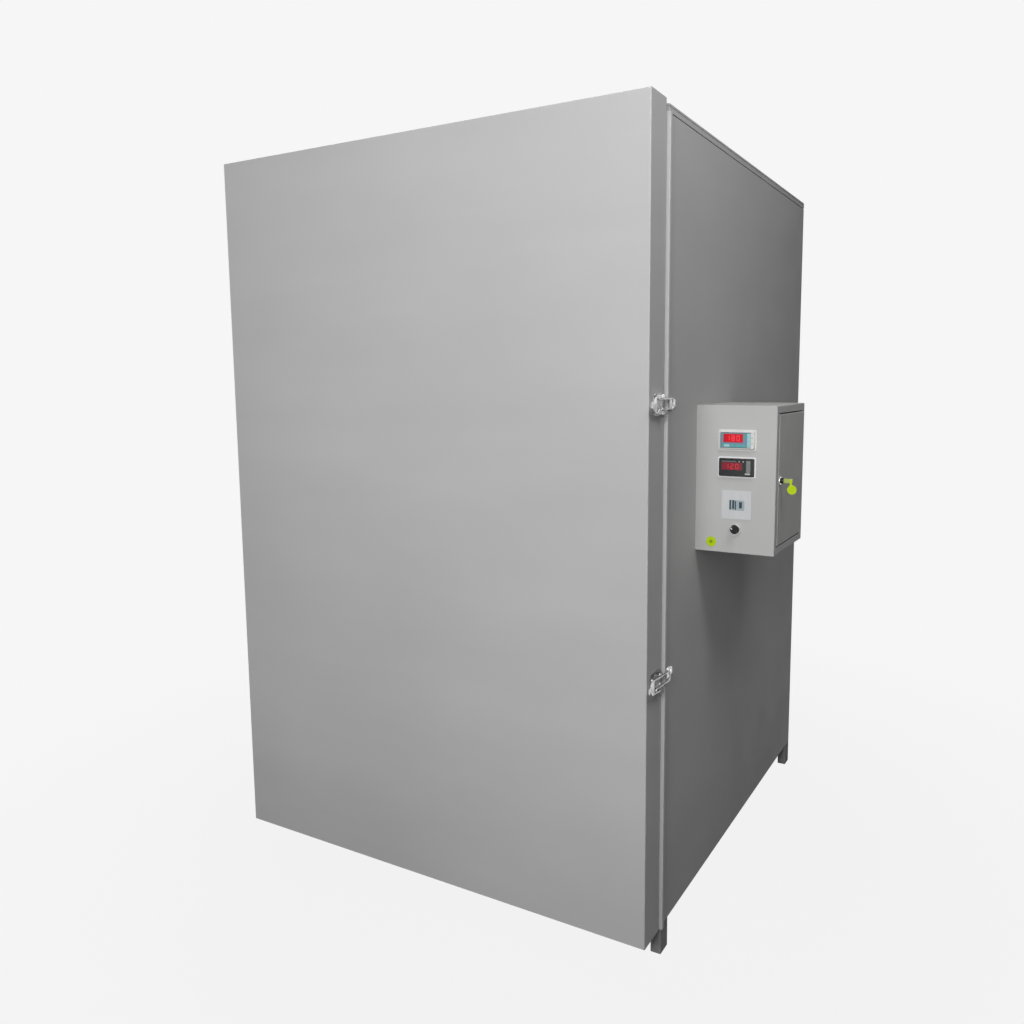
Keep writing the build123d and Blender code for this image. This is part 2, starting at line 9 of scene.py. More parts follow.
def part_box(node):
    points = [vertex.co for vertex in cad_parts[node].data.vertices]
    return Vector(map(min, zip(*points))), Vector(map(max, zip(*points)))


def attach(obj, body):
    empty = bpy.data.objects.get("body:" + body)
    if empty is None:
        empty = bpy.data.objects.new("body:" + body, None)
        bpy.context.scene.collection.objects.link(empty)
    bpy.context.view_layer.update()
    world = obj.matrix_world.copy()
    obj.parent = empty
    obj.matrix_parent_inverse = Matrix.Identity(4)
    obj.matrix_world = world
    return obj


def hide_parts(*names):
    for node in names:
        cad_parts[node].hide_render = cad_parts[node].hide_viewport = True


bl_info = {
    "name": "Drying Cabinet Finish",
    "version": (1, 0, 0),
    "blender": (4, 5, 0),
    "location": "View3D > Sidebar > Cabinet",
    "description": "Finishes, fittings and studio of the drying cabinet",
    "category": "Object",
}

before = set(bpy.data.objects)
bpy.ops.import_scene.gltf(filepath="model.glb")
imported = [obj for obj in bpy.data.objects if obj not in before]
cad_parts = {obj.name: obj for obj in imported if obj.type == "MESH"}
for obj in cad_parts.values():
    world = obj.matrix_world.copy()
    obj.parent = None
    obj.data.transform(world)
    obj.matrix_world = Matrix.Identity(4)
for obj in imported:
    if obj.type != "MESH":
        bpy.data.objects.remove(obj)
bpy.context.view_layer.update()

IMAGE_SIZE = 1024
SENSOR_WIDTH = 36.0
MM = 0.001
MERGE_DISTANCE = 1e-6
# Part of a shape's height over which a point is at its top, and a level face's least upward normal
NEAR_TOP = 0.9
LEVEL = 0.99
# Faces that turn by less than the first are one flat; an edge over the second is rounded, a frame's
# over the third
FLAT_ANGLE, SHARP_ANGLE, EDGE_ANGLE = math.radians(0.5), math.radians(40), math.radians(60)

# Directions that a piece modelled on the ground, facing up, is turned to face
FACE_FRONT = Matrix(((1, 0, 0), (0, 0, -1), (0, 1, 0)))
FACE_RIGHT = Matrix(((0, 0, 1), (1, 0, 0), (0, 1, 0)))
FACE_REAR = Matrix(((-1, 0, 0), (0, 0, 1), (0, 1, 0)))
FACE_LEFT = Matrix(((0, 0, -1), (-1, 0, 0), (0, 1, 0)))
FACE_UP = Matrix.Identity(3)
FACE_DOWN = Matrix(((1, 0, 0), (0, -1, 0), (0, 0, -1)))

# Each latch's finishes for its lever and keeper, its base and its wire: the lower latch's are
# darker copies of the upper one's, painted shade
LATCHES = {
    # Each base's finish is darker than its lever's: painted shade under the lever
    "upper": ("latch_plating", "plate_plating", "wire_plating"),
    "lower": ("worn_plating", "worn_plate", "worn_wire"),
}
# Screws, in metres. On a latch's base: out from the wall, in from its front and rear, up or down.
BASE_FACE, BASE_FRONT, BASE_REAR, BASE_RISE = 0.0024, 0.009, 0.008, 0.012
# On its keeper: out from the wall, then each screw's place back and up
KEEPER_FACE, KEEPER_SCREWS = 0.0029, ((0.021, 0.009), (0.021, -0.009), (0.042, 0.0))
# On a hinge's leaf: out from the wall, past its knuckle, in from its end and from its top and
# bottom, the leaf's height, and the share of the width between that the inner screws stand off
LEAF_FACE, LEAF_KNUCKLE, LEAF_END, LEAF_MARGIN, LEAF_HEIGHT = 0.0135, 0.021, 0.010, 0.012, 0.060
LEAF_SHARE = 0.15
HINGES = ("upper", "middle", "lower")
# Lit bars of each figure: top, upper left, upper right, middle, lower left, lower right, bottom
FIGURES = {"0": (0, 1, 2, 4, 5, 6), "1": (2, 5), "2": (0, 2, 3, 4, 6), "8": (0, 1, 2, 3, 4, 5, 6)}
# Those bars' places across and up, in quarters of a figure's height, and whether they stand upright
BARS = ((0, 2, 0), (-1, 1, 1), (1, 1, 1), (0, 0, 0), (-1, -1, 1), (1, -1, 1), (0, -2, 0))
# Each lamp's place, the point it faces and its width, in metres; a setting gives its strength
LAMPS = {
    "front_lamp": ((0.8, -4.4, 2.4), (0.6, -0.7, 1.4), 1.6),
    "left_lamp": ((-0.6, -4.4, 3.2), (-0.3, -0.7, 1.4), 2.4),
    "key_lamp": ((1.7, -4.2, 3.2), (0.3, -0.7, 1.6), 2.0),
    "side_lamp": ((1.7, -1.3, 3.4), (0.6, -0.4, 2.0), 1.0),
    "rear_lamp": ((-3.0, 3.6, 3.2), (-0.4, 0.4, 1.2), 2.4),
}
# The floor's radius, and where it fades from a share of the background to all of it, in metres
FLOOR_RADIUS, FLOOR_FADE, FLOOR_GLOW = 9.0, (1.0, 2.6), (0.95, 1.0)
# In millimetres: the upper meter's printed sheet, its middle, and the middle of each window
UPPER_SHEET, UPPER_MIDDLE, UPPER_WINDOW, LOWER_WINDOW = (83, 41.6), (-3.4, 0), (-10, 5.5), (-12, 3)
# Plates laid on the instruments, in millimetres: name, finish, (width, height, thickness, corner,
# edge), how far it is lifted off the face, and each copy's place across and up from its middle
UPPER_PLATES = (
    ("face", "face_blue_green", (*UPPER_SHEET, 0.3, 0.8, 0), 0, UPPER_MIDDLE),
    ("window", "window_red", (54, 23, 0.6, 1.0, 0.2), 0.3, UPPER_WINDOW),
    ("column", "key_cyan", (9.6, 38, 0.3, 1.0, 0), 0.3, (33, 0)),
    ("keys", "key_cyan", (9.2, 7.2, 1.3, 2.0, 0.5), 0.4, (33, -10), (33, 0), (33, 10)),
    ("wide_key", "key_cyan", (15, 6.4, 0.8, 1.2, 0.3), 0.3, (-27, -14.4)),
    ("small_keys", "key_teal", (11, 6.4, 0.8, 1.2, 0.3), 0.3,
     (-11, -14.4), (3, -14.4), (17, -14.4)),
)
LOWER_PLATES = (
    ("face", "face_black", (89.6, 41.6, 0.3, 0.8, 0), 0, (0, 0)),
    ("window", "window_dim", (56, 20, 0.6, 1.0, 0.2), 0.3, LOWER_WINDOW),
    ("line", "key_grey", (40, 1.8, 0.2, 0.4, 0), 0.3, (-20, 16)),
    ("column", "key_grey", (11.4, 31, 0.3, 1.0, 0), 0.3, (33, 3.5)),
    ("keys", "key_grey", (9.2, 7.2, 1.3, 2.0, 0.5), 0.4, (33, -10), (33, 0), (33, 10)),
    ("low_key", "key_light", (14, 4.6, 0.8, 1.2, 0.3), 0.3, (31, -16.6)),
)
CARD_PLATES = (
    ("wash", "card_wash", (42, 28, 0.1, 3.0, 0), 0, (1.5, -1)),
    ("bar_0", "card_ink", (4.4, 26, 0.1, 0.8, 0), 0.1, (-16.5, 0)),
    ("bar_1", "card_ink", (5.6, 24, 0.1, 0.8, 0), 0.1, (-8, 1)),
    ("bar_2", "card_ink", (3.2, 24, 0.1, 0.8, 0), 0.1, (-2, -1)),
    ("bar_3", "card_ink", (8, 17, 0.1, 0.8, 0), 0.1, (12, 0)),
)


class StageSettings(bpy.types.PropertyGroup):
    """The studio: camera, lamps, floor and background."""

    camera_place: FloatVectorProperty(
        name="Camera Place", description="From the door's lower left front corner",
        default=(2.226, -1.916, 1.463), subtype="TRANSLATION", unit="LENGTH",
    )
    camera_heading: FloatProperty(
        name="Heading", description="Turn to the left of straight ahead",
        default=math.radians(29.185), subtype="ANGLE",
    )
    camera_pitch: FloatProperty(
        name="Pitch", description="Tilt below the horizon", default=math.radians(6.924),
        subtype="ANGLE",
    )
    camera_roll: FloatProperty(
        name="Roll", description="Turn of the picture to the right", default=math.radians(0.295),
        subtype="ANGLE",
    )
    focal_pixels: FloatProperty(
        name="Focal Length", description="Focal length in pixels of a picture 1024 wide",
        default=862.6,
    )
    centre_across: FloatProperty(
        name="Centre Across", description="The optical centre's pixel column", default=552.6
    )
    centre_down: FloatProperty(
        name="Centre Down", description="The optical centre's pixel row", default=485.3
    )
    background: FloatProperty(
        name="Background", description="Brightness of the floor and background", default=0.922,
        min=0, max=1,
    )
    floor_grey: FloatProperty(
        name="Floor Grey", description="Grey of the floor", default=0.21, min=0, max=1
    )
    front_lamp: FloatProperty(
        name="Front Lamp", description="Strength of the front lamp", default=84, unit="POWER"
    )
    left_lamp: FloatProperty(
        name="Left Lamp", description="Strength of the left front lamp", default=14, unit="POWER"
    )
    key_lamp: FloatProperty(
        name="Key Lamp", description="Strength of the right front lamp", default=36, unit="POWER"
    )
    side_lamp: FloatProperty(
        name="Side Lamp", description="Strength of the right lamp", default=25.5, unit="POWER"
    )
    rear_lamp: FloatProperty(
        name="Rear Lamp", description="Strength of the lamp behind", default=230, unit="POWER"
    )
    fill: FloatProperty(
        name="Fill", description="Strength of the light from all round", default=0.04, min=0
    )


class FinishSettings(bpy.types.PropertyGroup):
    """Colours of the finishes."""

    paint: FloatVectorProperty(
        name="Paint", description="Grey of the cabinet's panels", default=(0.50, 0.50, 0.50),
        subtype="COLOR",
    )
    # The legs are a plain grey, darker than the panels
    leg_paint: FloatVectorProperty(
        name="Leg Paint", description="Scuffed grey of the legs", default=(0.27, 0.27, 0.27),
        subtype="COLOR",
    )
    box_paint: FloatVectorProperty(
        name="Enclosure Paint", description="Grey of the enclosure", default=(0.49, 0.49, 0.485),
        subtype="COLOR",
    )
    plating: FloatVectorProperty(
        name="Plating", description="Colour of the latches' plating", default=(0.80, 0.80, 0.81),
        subtype="COLOR",
    )
    # Darker than the levers' plating: painted shade under the levers
    shaded_base_plating: FloatVectorProperty(
        name="Shaded Base Plating", description="Colour of the latches' pressed plates",
        default=(0.40, 0.40, 0.40), subtype="COLOR",
    )
    # Darker than the upper latch's plating: painted shade on the lower latch
    worn_plating: FloatVectorProperty(
        name="Lower Plating Painted Shade", description="Colour of the lower latch's plating",
        default=(0.50, 0.50, 0.505), subtype="COLOR",
    )
    liner: FloatVectorProperty(
        name="Liner", description="Colour of the chamber's sheet", default=(0.60, 0.60, 0.59),
        subtype="COLOR",
    )
    meter_frame: FloatVectorProperty(
        name="Meter Frame", description="Cream white of the upper meter's frame",
        default=(0.66, 0.66, 0.64), subtype="COLOR",
    )
    face_green: FloatVectorProperty(
        name="Face Green", description="Blue green printed on the upper meter",
        default=(0.10, 0.31, 0.32), subtype="COLOR",
    )
    face_blue: FloatVectorProperty(
        name="Face Blue", description="Blue grey printed on the upper meter",
        default=(0.18, 0.24, 0.40), subtype="COLOR",
    )
    display: FloatVectorProperty(
        name="Display", description="Red of the displays", default=(0.62, 0.014, 0.026),
        subtype="COLOR",
    )
    signal: FloatVectorProperty(
        name="Signal Yellow", description="Yellow green of the tag and marker",
        default=(0.462, 0.625, 0.006), subtype="COLOR",
    )


class LatchSettings(bpy.types.PropertyGroup):
    """Places on a toggle latch, out from the side wall and back from the door's front."""

    pivot: FloatVectorProperty(
        name="Lever Pivot", description="Out and back to the lever's rivets",
        default=(0.013, 0.056), size=2, unit="LENGTH",
    )
    loop_pivot: FloatVectorProperty(
        name="Loop Pivot", description="Out and back to the loop's hinge in the lever",
        default=(0.010, 0.038), size=2, unit="LENGTH",
    )
    rung: FloatVectorProperty(
        name="Rung", description="Out and back to the loop's far bar", default=(0.0145, 0.119),
        size=2, unit="LENGTH",
    )
    wire_radius: FloatProperty(
        name="Wire", description="Radius of the loop's wire", default=0.0025, unit="LENGTH"
    )
    loop_half: FloatProperty(
        name="Loop Half Width", description="From the loop's middle to a long wire's axis",
        default=0.0125, unit="LENGTH",
    )
    stub: FloatProperty(
        name="Stub", description="From the loop's middle to its wire's ends", default=0.0194,
        unit="LENGTH",
    )
    bend_radius: FloatProperty(
        name="Bend", description="Radius of its bends, to the wire's axis", default=0.0050,
        unit="LENGTH",
    )
    ear_outer: FloatProperty(
        name="Ears", description="From the latch's middle to the ears' outer faces", default=0.0225,
        unit="LENGTH",
    )
    rivet_radius: FloatProperty(
        name="Rivet", description="Radius of the ears' rivets", default=0.0052, unit="LENGTH"
    )
    rivet_height: FloatProperty(
        name="Rivet Height", description="Height of its head", default=0.0020, unit="LENGTH"
    )
    edge: FloatProperty(
        name="Edge", description="Rounding of the pressed edges", default=0.0006, unit="LENGTH"
    )


class FastenerSettings(bpy.types.PropertyGroup):
    """Screws and rivets."""

    screw_radius: FloatProperty(
        name="Screw", description="Radius of a screw's head", default=0.0042, unit="LENGTH"
    )
    screw_height: FloatProperty(
        name="Screw Height", description="Height of its head", default=0.0026, unit="LENGTH"
    )
    rivet_radius: FloatProperty(
        name="Rivet", description="Radius of a blind rivet's head", default=0.0040, unit="LENGTH"
    )
    rivet_height: FloatProperty(
        name="Rivet Height", description="Height of its head", default=0.0009, unit="LENGTH"
    )
    rivet_rows: IntProperty(
        name="Rivets", description="Rivets in an upright row on the back", default=10, min=2
    )


class InstrumentSettings(bpy.types.PropertyGroup):
    """Faces of the panel meters, the card and the knob."""

    recess: FloatProperty(
        name="Recess", description="Depth of a meter's face in its rim", default=0.0015,
        unit="LENGTH",
    )
    figure_height: FloatProperty(
        name="Figures", description="Height of a display's figures", default=0.0130, unit="LENGTH"
    )
    figure_pitch: FloatProperty(
        name="Pitch", description="From one figure to the next", default=0.0138, unit="LENGTH"
    )
    trim_reach: FloatProperty(
        name="Trim", description="How far a meter's gasket shows round it", default=0.0042,
        unit="LENGTH",
    )
    trim_thick: FloatProperty(
        name="Trim Thickness", description="Thickness of the gasket", default=0.0012, unit="LENGTH"
    )
    pointer_length: FloatProperty(
        name="Pointer", description="Length of the knob's white mark", default=0.0080, unit="LENGTH"
    )
    pointer_turn: FloatProperty(
        name="Pointer Turn", description="How far the mark points left of straight up",
        default=math.radians(45), subtype="ANGLE",
    )


def link(tree, source, target):
    """Join one node's output to another's input."""
    tree.links.new(source, target)


def fix(node, socket, value):
    """Set an input that is the same all over."""
    node.inputs[socket].default_value = value


def new_material(name):
    """A material with its shader, under a name that none of the frame's plain materials has."""
    if name in bpy.data.materials:
        raise RuntimeError(f"a material is already called {name}")
    material = bpy.data.materials.new(name)
    material.use_nodes = True
    tree = material.node_tree
    return tree, tree.nodes["Principled BSDF"]


def noise(tree, scale, detail=2.0, stretch=(1.0, 1.0, 1.0)):
    """Noise that stays on the piece, drawn out along an axis by a small stretch there."""
    place = tree.nodes.new("ShaderNodeTexCoord")
    mapping = tree.nodes.new("ShaderNodeMapping")
    fix(mapping, "Scale", stretch)
    texture = tree.nodes.new("ShaderNodeTexNoise")
    fix(texture, "Scale", scale)
    fix(texture, "Detail", detail)
    link(tree, place.outputs["Object"], mapping.inputs["Vector"])
    link(tree, mapping.outputs["Vector"], texture.inputs["Vector"])
    return texture.outputs["Fac"]


def spread(tree, value, low, high, start=0.3, end=0.7):
    """Carry a value from one range to another."""
    node = tree.nodes.new("ShaderNodeMapRange")
    for name, number in (("From Min", start), ("From Max", end), ("To Min", low), ("To Max", high)):
        fix(node, name, number)
    link(tree, value, node.inputs["Value"])
    return node.outputs["Result"]


def product(tree, *values):
    """Multiply outputs together."""
    result = values[0]
    for value in values[1:]:
        node = tree.nodes.new("ShaderNodeMath")
        node.operation = "MULTIPLY"
        link(tree, result, node.inputs[0])
        link(tree, value, node.inputs[1])
        result = node.outputs[0]
    return result


def tint(tree, shader, colour, factor):
    """Give the shader a colour that a factor lightens and darkens."""
    node = tree.nodes.new("ShaderNodeVectorMath")
    node.operation = "SCALE"
    fix(node, 0, colour)
    link(tree, factor, node.inputs["Scale"])
    link(tree, node.outputs["Vector"], shader.inputs["Base Color"])


def roughen(tree, shader, smooth, rough, scale, detail):
    """Let the roughness wander over the surface."""
    link(tree, spread(tree, noise(tree, scale, detail), smooth, rough), shader.inputs["Roughness"])


def relief(tree, shader, *layers):
    """Lay bumps over each other, each a height, its strength and its depth."""
    normal = None
    for height, strength, depth in layers:
        node = tree.nodes.new("ShaderNodeBump")
        fix(node, "Strength", strength)
        fix(node, "Distance", depth)
        link(tree, height, node.inputs["Height"])
        if normal:
            link(tree, normal, node.inputs["Normal"])
        normal = node.outputs["Normal"]
    link(tree, normal, shader.inputs["Normal"])


def height_above_floor(tree):
    """How high a point of the piece lies at rest."""
    place = tree.nodes.new("ShaderNodeTexCoord")
    axes = tree.nodes.new("ShaderNodeSeparateXYZ")
    link(tree, place.outputs["Object"], axes.inputs[0])
    return axes.outputs["Z"]


def sheet_paint(name, colour, wave):
    """Stove enamel on slack sheet: uneven, faintly wiped, darker towards the bottom, with orange
    peel.
    """
    tree, shader = new_material(name)
    cloud = spread(tree, noise(tree, 1.3, 3.0), 0.97, 1.03)
    wiped = spread(tree, noise(tree, 3.2, 3.0, (0.35, 0.35, 1.6)), 0.972, 1.028)
    # Darker towards the bottom, up to half a metre high
    darker_low = spread(tree, height_above_floor(tree), 0.94, 1.0, 0.06, 0.5)
    tint(tree, shader, colour, product(tree, cloud, wiped, darker_low))
    roughen(tree, shader, 0.48, 0.62, 8.0, 3.0)
    fix(shader, "Specular IOR Level", 0.015)
    relief(
        tree, shader, (noise(tree, 2.4, 1.0), 0.08, wave), (noise(tree, 900.0, 1.0), 0.10, 0.0002)
    )


def powder_coat(name, colour):
    """Powder coat with a fine pebbled skin."""
    tree, shader = new_material(name)
    cloud = spread(tree, noise(tree, 6.0, 3.0), 0.98, 1.02)
    speck = spread(tree, noise(tree, 1500.0, 1.0), 0.975, 1.025)
    tint(tree, shader, colour, product(tree, cloud, speck))
    roughen(tree, shader, 0.44, 0.54, 20.0, 2.0)
    fix(shader, "Specular IOR Level", 0.015)
    relief(tree, shader, (noise(tree, 1300.0, 1.0), 0.25, 0.0001))


def plated(name, colour, smooth, rough, stain=0.86):
    """Bright plating with handling marks, fine scratches and rolled grain."""
    tree, shader = new_material(name)
    fix(shader, "Metallic", 1.0)
    tarnish = spread(tree, noise(tree, 70.0, 4.0), stain, 2.0 - stain, 0.38, 0.62)
    tint(tree, shader, colour, tarnish)
    roughen(tree, shader, smooth, rough, 90.0, 4.0)
    relief(
        tree, shader,
        (noise(tree, 500.0, 2.0, (1.0, 0.06, 1.0)), 0.10, 0.00005),
        (noise(tree, 120.0, 1.0), 0.15, 0.0001),
    )


def brushed(name, colour):
    """Sheet steel brushed along its length."""
    tree, shader = new_material(name)
    fix(shader, "Metallic", 1.0)
    lines = noise(tree, 6.0, 5.0, (0.6, 0.6, 160.0))
    tint(tree, shader, colour, spread(tree, lines, 0.92, 1.05))
    roughen(tree, shader, 0.42, 0.45, 9.0, 4.0)
    relief(tree, shader, (lines, 0.12, 0.0001), (noise(tree, 2.0, 1.0), 0.05, 0.001))


def galvanised(name, colour):
    """Zinc spangle."""
    tree, shader = new_material(name)
    fix(shader, "Metallic", 0.9)
    place = tree.nodes.new("ShaderNodeTexCoord")
    flakes = tree.nodes.new("ShaderNodeTexVoronoi")
    fix(flakes, "Scale", 110.0)
    link(tree, place.outputs["Object"], flakes.inputs["Vector"])
    level = tree.nodes.new("ShaderNodeSeparateColor")
    link(tree, flakes.outputs["Color"], level.inputs[0])
    tint(tree, shader, colour, spread(tree, level.outputs[0], 0.84, 1.08, 0.0, 1.0))
    link(tree, spread(tree, level.outputs[1], 0.34, 0.50, 0.0, 1.0), shader.inputs["Roughness"])
    relief(tree, shader, (level.outputs[2], 0.05, 0.0001))


def moulded(name, colour, smooth, rough, gloss=0.5, grain=0.00004, fleck=0.02):
    """Moulded plastic: spark-eroded grain, slight flow marks and fingered gloss."""
    tree, shader = new_material(name)
    flow = spread(tree, noise(tree, 60.0, 2.0, (1.0, 1.0, 0.3)), 1.0 - fleck, 1.0 + fleck)
    tint(tree, shader, colour, flow)
    roughen(tree, shader, smooth, rough, 140.0, 3.0)
    fix(shader, "Specular IOR Level", gloss)
    relief(tree, shader, (noise(tree, 2600.0, 1.0), 0.25, grain))


def printed(name, first, second):
    """A printed sheet whose two inks run into each other, with a fine dot grain."""
    tree, shader = new_material(name)
    blend = tree.nodes.new("ShaderNodeMix")
    blend.data_type = "RGBA"
    fix(blend, "A", (*first, 1))
    fix(blend, "B", (*second, 1))
    link(tree, spread(tree, noise(tree, 75.0, 1.0), 0.0, 1.0, 0.42, 0.58), blend.inputs["Factor"])
    link(tree, blend.outputs["Result"], shader.inputs["Base Color"])
    roughen(tree, shader, 0.32, 0.42, 200.0, 2.0)
    fix(shader, "Specular IOR Level", 0.3)
    relief(tree, shader, (noise(tree, 2200.0, 1.0), 0.2, 0.00003))


def rubber(name, colour):
    """Extruded rubber with its drawing lines and bloom."""
    tree, shader = new_material(name)
    tint(tree, shader, colour, spread(tree, noise(tree, 25.0, 4.0), 0.8, 1.35))
    roughen(tree, shader, 0.62, 0.80, 70.0, 2.0)
    relief(tree, shader, (noise(tree, 900.0, 2.0), 0.3, 0.0001))


def mineral_wool(name, colour):
    """Matted fibres."""
    tree, shader = new_material(name)
    tint(tree, shader, colour, spread(tree, noise(tree, 160.0, 6.0, (1.0, 1.0, 4.0)), 0.7, 1.2))
    fix(shader, "Roughness", 0.95)
    relief(tree, shader, (noise(tree, 220.0, 6.0, (1.0, 1.0, 4.0)), 0.8, 0.002))


def lit(name, colour, strength):
    """A lit display bar with a slightly uneven glow."""
    tree, shader = new_material(name)
    glow = spread(tree, noise(tree, 700.0, 2.0), 0.9, 1.1)
    tint(tree, shader, colour, glow)
    fix(shader, "Roughness", 0.3)
    fix(shader, "Emission Color", (*colour, 1))
    fix(shader, "Emission Strength", strength)
    relief(tree, shader, (noise(tree, 900.0, 1.0), 0.1, 0.00005))


def assign(node_name, material):
    """Give a carried-over node its finish."""
    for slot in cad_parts[node_name].material_slots:
        slot.material = bpy.data.materials[material]


def choose(*pieces):
    """Select these pieces and nothing else."""
    bpy.ops.object.select_all(action="DESELECT")
    for piece in pieces:
        piece.select_set(True)
    bpy.context.view_layer.objects.active = pieces[0]


def select_whole():
    """While shaping, select all of it."""
    bpy.ops.mesh.select_all(action="SELECT")


def start(primitive, **shape):
    """Add a primitive on its own and open it for shaping."""
    bpy.ops.object.select_all(action="DESELECT")
    primitive(**shape)
    piece = bpy.context.object
    bpy.ops.object.mode_set(mode="EDIT")
    select_whole()
    return piece


def pick(piece, kind, test):
    """While shaping, select the faces or edges that pass a test."""
    bpy.ops.mesh.select_mode(type=kind)
    bpy.ops.mesh.select_all(action="DESELECT")
    mesh = bmesh.from_edit_mesh(piece.data)
    for element in mesh.faces if kind == "FACE" else mesh.edges:
        if test(element):
            element.select_set(True)
    bmesh.update_edit_mesh(piece.data)


def pull(offset):
    """Extrude what is selected."""
    bpy.ops.mesh.extrude_region_move(TRANSFORM_OT_translate={"value": offset})


def pick_top_edges(piece, height):
    """While shaping, select the edges round the top."""
    pick(piece, "EDGE", lambda edge: all(vert.co.z > height * NEAR_TOP for vert in edge.verts))


def thicken(height):
    """While shaping, give a flat shape its thickness and turn its faces outwards."""
    select_whole()
    pull((0, 0, height))
    select_whole()
    bpy.ops.mesh.normals_make_consistent(inside=False)


def close_shape(piece):
    """Merge doubles and turn all faces outwards, then stop shaping."""
    select_whole()
    bpy.ops.mesh.remove_doubles(threshold=MERGE_DISTANCE)
    bpy.ops.mesh.normals_make_consistent(inside=False)
    bpy.ops.object.mode_set(mode="OBJECT")
    return piece


def set_down(piece, place, facing):
    """Put a shape in its place, facing its way, with its origin left at the world's."""
    piece.matrix_world = Matrix.Translation(place) @ facing.to_4x4()
    choose(piece)
    bpy.ops.object.transform_apply(location=True, rotation=True, scale=True)
    return piece


def hang(piece, name, body, material, smooth=35.0):
    """Name a finished piece, shade it evenly, give it its finish and let it ride on its body."""
    choose(piece)
    bpy.ops.object.shade_smooth_by_angle(angle=math.radians(smooth))
    even = piece.modifiers.new("even_shading", "WEIGHTED_NORMAL")
    even.keep_sharp = True
    bpy.ops.object.modifier_apply(modifier=even.name)
    piece.name = name
    piece.data.name = name
    piece.data.materials.clear()
    piece.data.materials.append(bpy.data.materials[material])
    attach(piece, body)


def repeat(master, spots):
    """Copy a finished master to each spot, each copy with its own mesh, and join the copies."""
    made = []
    for place, facing in spots:
        choose(master)
        bpy.ops.object.duplicate()
        made.append(set_down(bpy.context.object, place, facing))
    bpy.data.objects.remove(master)
    choose(*made)
    if len(made) > 1:
        bpy.ops.object.join()
    return bpy.context.object


def soften(node, body, material, edge, segments=2):
    """Stand in for a node with a merged copy whose sharp edges are rounded."""
    choose(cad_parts[node])
    bpy.ops.object.duplicate()
    piece = bpy.context.object
    piece.parent = None
    piece.matrix_world = Matrix.Identity(4)
    bpy.ops.object.mode_set(mode="EDIT")
    select_whole()
    bpy.ops.mesh.remove_doubles(threshold=MERGE_DISTANCE)
    bpy.ops.mesh.dissolve_limited(angle_limit=FLAT_ANGLE)
    bpy.ops.object.mode_set(mode="OBJECT")
    rounding = piece.modifiers.new("rounding", "BEVEL")
    rounding.width = edge
    rounding.segments = segments
    rounding.angle_limit = SHARP_ANGLE
    bpy.ops.object.modifier_apply(modifier=rounding.name)
    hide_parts(node)
    hang(piece, f"{node}_finished", body, material)


def front_middle(node):
    """The middle of a node's front face."""
    low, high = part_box(node)
    return Vector(((low.x + high.x) / 2, low.y, (low.z + high.z) / 2))


# The shapes below are modelled on the ground, facing up
def model_round(radius, height, sides, edge, steps, rim=0.0, sink=0.0, taper=1.0):
    """A round head with a rounded edge, sunk inside a rim where asked."""
    piece = start(bpy.ops.mesh.primitive_cylinder_add, vertices=sides, radius=radius, depth=height)
    bpy.ops.transform.translate(value=(0, 0, height / 2))
    pick_top_edges(piece, height)
    bpy.ops.mesh.bevel(offset=edge, segments=steps)
    if sink:
        pick(
            piece, "FACE",
            lambda face: face.normal.z > LEVEL and face.calc_center_median().z > height * NEAR_TOP,
        )
        bpy.ops.mesh.inset(thickness=rim)
        pull((0, 0, -sink))
        bpy.ops.transform.resize(value=(taper, taper, 1.0))
    return close_shape(piece)


def model_screw(scale=1.0):
    """A pan-head screw with a round-bottomed socket."""
    fasteners = bpy.context.scene.cabinet_fasteners
    radius, height = fasteners.screw_radius * scale, fasteners.screw_height * scale
    return model_round(
        radius, height, sides=18, edge=height * 0.55, steps=3, rim=radius * 0.22,
        sink=height * 0.55, taper=0.86,
    )


def model_rivet(radius, height):
    """A blind rivet: a low dome with the hole of its pulled pin."""
    return model_round(
        radius, height, sides=16, edge=height * 0.8, steps=4, rim=radius * 0.35, sink=height * 0.4
    )


def model_disc(radius, thick, edge, dish=0.0, rim=0.0):
    """A round button or disc, dished inside a rim where asked."""
    return model_round(radius, thick, sides=40, edge=edge, steps=2, rim=rim, sink=dish, taper=0.96)


def start_sheet(width, height, corner):
    """Open a flat sheet with rounded corners for shaping."""
    piece = start(bpy.ops.mesh.primitive_plane_add, size=1)
    bpy.ops.transform.resize(value=(width, height, 1))
    bpy.ops.mesh.bevel(offset=corner, segments=5, affect="VERTICES")
    return piece


def model_plate(width, height, thick, corner, edge):
    """A plate with rounded corners and a softened front edge."""
    piece = start_sheet(width, height, corner)
    thicken(thick)
    if edge:
        pick_top_edges(piece, thick)
        bpy.ops.mesh.bevel(offset=edge, segments=2)
    return close_shape(piece)


def model_frame(width, height, thick, corner, band, edge):
    """A frame with rounded corners, open in its middle."""
    piece = start_sheet(width, height, corner)
    select_whole()
    bpy.ops.mesh.inset(thickness=band)
    bpy.ops.mesh.delete(type="FACE")
    thicken(thick)
    if edge:
        pick(
            piece, "EDGE",
            lambda e: all(vert.co.z > thick * NEAR_TOP for vert in e.verts)
            and e.calc_face_angle() > EDGE_ANGLE,
        )
        bpy.ops.mesh.bevel(offset=edge, segments=2)
    return close_shape(piece)


def model_bar(length, width, thick):
    """One bar of a figure: a thin bar with pointed ends."""
    piece = start(bpy.ops.mesh.primitive_plane_add, size=1)
    bpy.ops.transform.resize(value=(length - width, width, 1))
    for side in (-1, 1):
        pick(piece, "EDGE", lambda e: all(v.co.x * side > (length - width) * 0.49 for v in e.verts))
        pull((side * width / 2, 0, 0))
        bpy.ops.transform.resize(value=(1.0, 0.15, 1.0))
    thicken(thick)
    return close_shape(piece)


